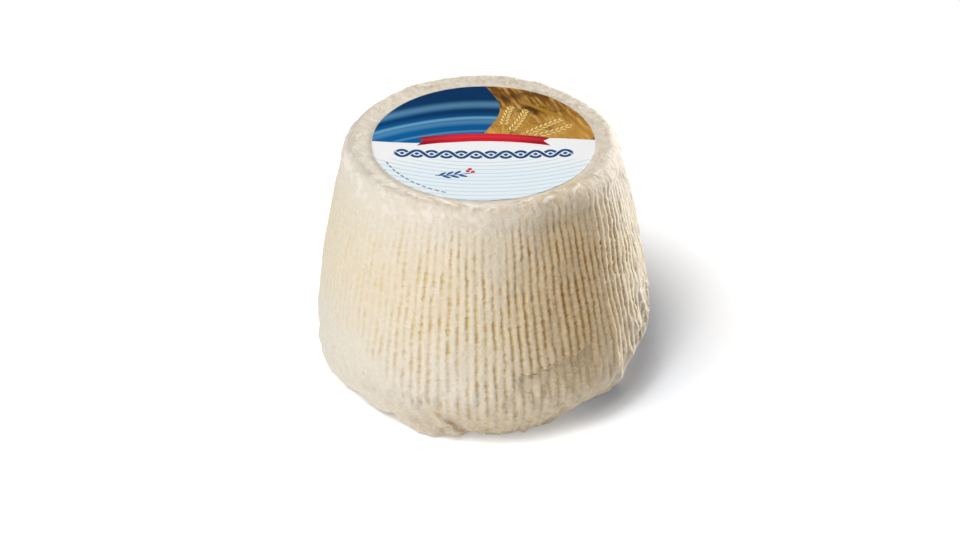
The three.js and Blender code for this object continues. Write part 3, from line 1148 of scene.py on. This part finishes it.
def blue_field(graph, x, y):
    """Deep blue, with soft curved bands of light and one of shade."""
    bow = y + x * x * 0.006
    bands = [(33, 5, 0.35), (21, 2.2, 0.6), (17.5, 4, 0.3), (9, 1.6, 0.35)]  # level, half width, share
    light = [(graph.hill(bow, level, width) * share, (130, 190, 222)) for level, width, share in bands]
    shade = (graph.hill(bow, 27, 3.4) * 0.6, (0, 34, 72))
    return graph.paint((0, 92, 150), (graph.step(y, 2, 40), (0, 50, 92)), *light, shade)


def white_field(graph, x, y):
    """White paper that turns pale blue towards the front, with fine arcs."""
    from_far = ((x * x) + (y - 70) ** 2) ** 0.5
    line = inside(graph, abs(from_far % 3.1 - 1.55) - 0.28) * graph.step(y, -14, -17)
    return graph.paint(
        PAPER, (graph.step(y, -12, -30) * 0.8, (226, 236, 241)), (line * 0.7, (160, 205, 228)),
    )


def ornament_row(graph, x, y, colour):
    """A wide dark blue braid of two crossing strands, with a lozenge in every eye."""
    half_turn, swing = 6.6, 2.7
    blue = (10, 72, 124)
    row = y + 11.8 - x * x * 0.0012
    ends = graph.step(abs(x), half_turn * 6.1, half_turn * 5.95)
    wave = x * (math.pi / half_turn)
    slope = graph.cosine(wave) * (swing * math.pi / half_turn)
    for way in (1, -1):
        away = abs(row - graph.sine(wave) * (swing * way)) / (1 + slope * slope) ** 0.5
        gap, strand = inside(graph, away - 1.35), inside(graph, away - 0.85)
        colour = graph.paint(colour, (gap * ends, PAPER), (strand * ends, blue))
    cell = (x % half_turn) - half_turn / 2
    lozenge = abs(cell) / 1.3 + abs(row) / 1.25 - 1
    return graph.paint(colour, (inside(graph, lozenge) * ends, blue))


def ribbon(graph, x, y, colour):
    """A bare red ribbon with swallow-tailed ends, over the edge between the fields."""
    half_width, half_length = 3.4, 30
    middle = y - 3.4 + x * x * 0.0042
    ends = half_length - (half_width - abs(middle)) * 0.9
    body = inside(graph, abs(middle) - half_width) * inside(graph, abs(x) - ends)
    red = graph.paint(
        (206, 26, 46),
        (graph.step(abs(x), 10, 30), (150, 12, 32)),
        (graph.hill(middle, 0.8, 2.4) * 0.3, (236, 78, 84)),
    )
    return graph.paint(colour, (body, red))


def sprig(graph, x, y, colour):
    """A small sprig: blue leaves on a stem, and three red berries."""
    leaf_radii, berry_radii = (2.1, 0.72), (0.95, 0.95)
    u, v = turned_to(x, y, (-13, -29), 8)
    stem = inside(graph, abs(v - u * u * 0.012) - 0.28) * graph.step(abs(u), 8.4, 8)
    upper = [(-5, 1.5, 32), (-1.6, 1.7, 34), (1.8, 1.8, 36)]
    lower = [(-3.4, -1.2, -34), (0.2, -1.4, -32), (3.8, -1.2, -30)]
    leaves = [oval(u, v, (along, off), leaf_radii, degrees) for along, off, degrees in upper + lower]
    berries = [oval(u, v, centre, berry_radii) for centre in ((6.4, 2.4), (8.6, 1.5), (7.6, 3.9))]
    return graph.paint(
        colour,
        (stem, NAVY),
        *((inside(graph, leaf), NAVY) for leaf in leaves),
        *((inside(graph, berry), RED) for berry in berries),
    )


def edge_dashes(graph, x, y, colour):
    """A broken grey line, evenly spaced, round the left of the front edge."""
    radius, half_width, pitch = 46.6, 0.42, 4
    reach = ((x * x) + (y * y)) ** 0.5
    turn = graph.bearing(x, y)
    ring = inside(graph, abs(reach - radius) - half_width)
    dash = inside(graph, abs(turn % pitch - pitch / 2) - 1.3)
    stretch = graph.step(turn, -68.5, -67.5) * graph.step(turn, -19.5, -20.5)
    return graph.paint(colour, (ring * dash * stretch * 0.8, (96, 102, 114)))


def label_material():
    """The print: a blue field, a gold field with ears of wheat, a red ribbon, pale arcs on white."""
    material, graph = new_material("printed_paper")
    place = graph.add("ShaderNodeTexCoord").other("Object")
    x, y, _ = graph.split(graph.stretch(place, IN_MM))
    divide = x - 2.5 - 5 * graph.sine((y - 12) / 11)
    upper = graph.blend(inside(graph, -divide), blue_field(graph, x, y), gold_field(graph, x, y))
    level = y - 0.6 - 2.2 * graph.sine(x / 17)
    colour = graph.blend(inside(graph, level), upper, white_field(graph, x, y))
    for draw in (ribbon, ornament_row, sprig, edge_dashes):
        colour = draw(graph, x, y, colour)
    finish_material(
        graph, Base_Color=colour, Roughness=0.42, Specular_IOR_Level=0.4,
        Coat_Weight=0.1, Coat_Roughness=0.3,
    )
    return material


def floor_material():
    """White, with a faint glow of its own that is stronger on the lit side and far from the round."""
    material, graph = new_material("studio_floor")
    place = graph.add("ShaderNodeTexCoord").other("Object")
    x, y, _ = graph.split(graph.stretch(place, IN_MM))
    round_the_foot, out_on_the_floor = (85, 125), (100, 195)
    away = ((x * x) + (y * y)) ** 0.5
    lit_side = graph.step(x * -0.5 + y * -0.87, -15, 45)
    # Round the foot, on the side away from the light, the glow is weaker and cooler: a painted shadow
    cool, neutral = (0.1, 0.116, 0.145, 1), (0.135, 0.135, 0.135, 1)
    shaded = graph.blend(graph.step(away, *round_the_foot), cool, neutral)
    near = graph.blend(lit_side, shaded, (0.3, 0.3, 0.3, 1))
    glow = graph.blend(graph.step(away, *out_on_the_floor), near, (0.32, 0.32, 0.32, 1))
    finish_material(
        graph, Base_Color=(0.73, 0.735, 0.745, 1), Roughness=0.9, Specular_IOR_Level=0.1,
        Emission_Color=glow, Emission_Strength=1.0,
    )
    return material


# ---- The studio
MIDDLE = Vector((0, 0, 0.06))  # what the lights point at
CAMERA_DISTANCE = 1.2  # metres from the middle of the label
CAMERA_ABOVE, CAMERA_NOD = math.radians(30.7), math.radians(33.44)
CAMERA_SIDE = -0.0016
CAMERA_LENS = 100.3


def studio_floor(material):
    reach = 4.0
    corners = [(-reach, -reach, 0), (reach, -reach, 0), (reach, reach, 0), (-reach, reach, 0)]
    floor = new_object("studio_floor", corners, [(0, 1, 2, 3)], material)
    return floor


def softbox(name, azimuth, elevation, distance, size, power, lit=()):
    """A square area light that looks at the middle of the round, from that side.

    Where pieces are named, it lights those alone.
    """
    turn, tilt = math.radians(azimuth), math.radians(elevation)
    away = Vector((math.sin(turn) * math.cos(tilt), -math.cos(turn) * math.cos(tilt), math.sin(tilt)))
    light = bpy.data.lights.new(name, "AREA")
    light.size = size
    light.energy = power
    made = bpy.data.objects.new(name, light)
    made.location = MIDDLE + away * distance
    made.rotation_euler = away.to_track_quat("Z", "Y").to_euler()
    bpy.context.scene.collection.objects.link(made)
    if lit:
        receivers = bpy.data.collections.new(name + "_lights")
        made.light_linking.receiver_collection = receivers
        for piece in lit:
            receivers.objects.link(piece)


def studio_air():
    """White behind the floor's far edge, and no light of its own."""
    world = bpy.data.worlds.new("studio_air")
    world.use_nodes = True
    world.node_tree.nodes.clear()
    graph = Graph(world.node_tree)
    seen = graph.add("ShaderNodeLightPath")
    backdrop = graph.add("ShaderNodeBackground", None, (1, 1, 1, 1), seen)
    graph.add("ShaderNodeOutputWorld", None, backdrop)
    bpy.context.scene.world = world


def studio_light(pieces, floor):
    """A key light in two parts, a rim light on the round alone, and one for the floor's shadow."""
    softbox("key_high", azimuth=-50, elevation=65, distance=2.2, size=0.9, power=44)
    softbox("key_low", azimuth=-50, elevation=12, distance=2.2, size=1.2, power=13.5)
    softbox("rim", azimuth=130, elevation=10, distance=2.0, size=0.6, power=54, lit=pieces)
    softbox("floor_key", azimuth=-20, elevation=60, distance=2.2, size=0.9, power=27, lit=[floor])
    studio_air()
    bpy.context.scene.view_settings.view_transform = "Standard"


def studio_camera():
    """Looks down at the label and the side in front of it."""
    data = bpy.data.cameras.new("camera")
    data.sensor_width = 36
    data.lens = CAMERA_LENS
    data.clip_start, data.clip_end = 0.05, 20
    camera = bpy.data.objects.new("camera", data)
    back, up = CAMERA_DISTANCE * math.cos(CAMERA_ABOVE), CAMERA_DISTANCE * math.sin(CAMERA_ABOVE)
    camera.location = (CAMERA_SIDE, -back, HEIGHT * MM + up)
    camera.rotation_euler = (math.pi / 2 - CAMERA_NOD, 0, 0)
    bpy.context.scene.collection.objects.link(camera)
    bpy.context.scene.camera = camera


# ---- The whole
def main():
    curd = curd_material()
    body = turned_body(curd)
    press_ribs(body, curd)
    crumble_curd(body, curd)
    crumbs = scatter_crumbs(body, curd)
    label = label_disc(label_material())
    for piece, slot in ((body, "curd"), (crumbs, "curd"), (label, "printed_label")):
        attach(piece, "root")
    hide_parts("ricotta_round")
    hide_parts("top_label")
    floor = studio_floor(floor_material())
    studio_light([body, crumbs, label], floor)
    studio_camera()


main()
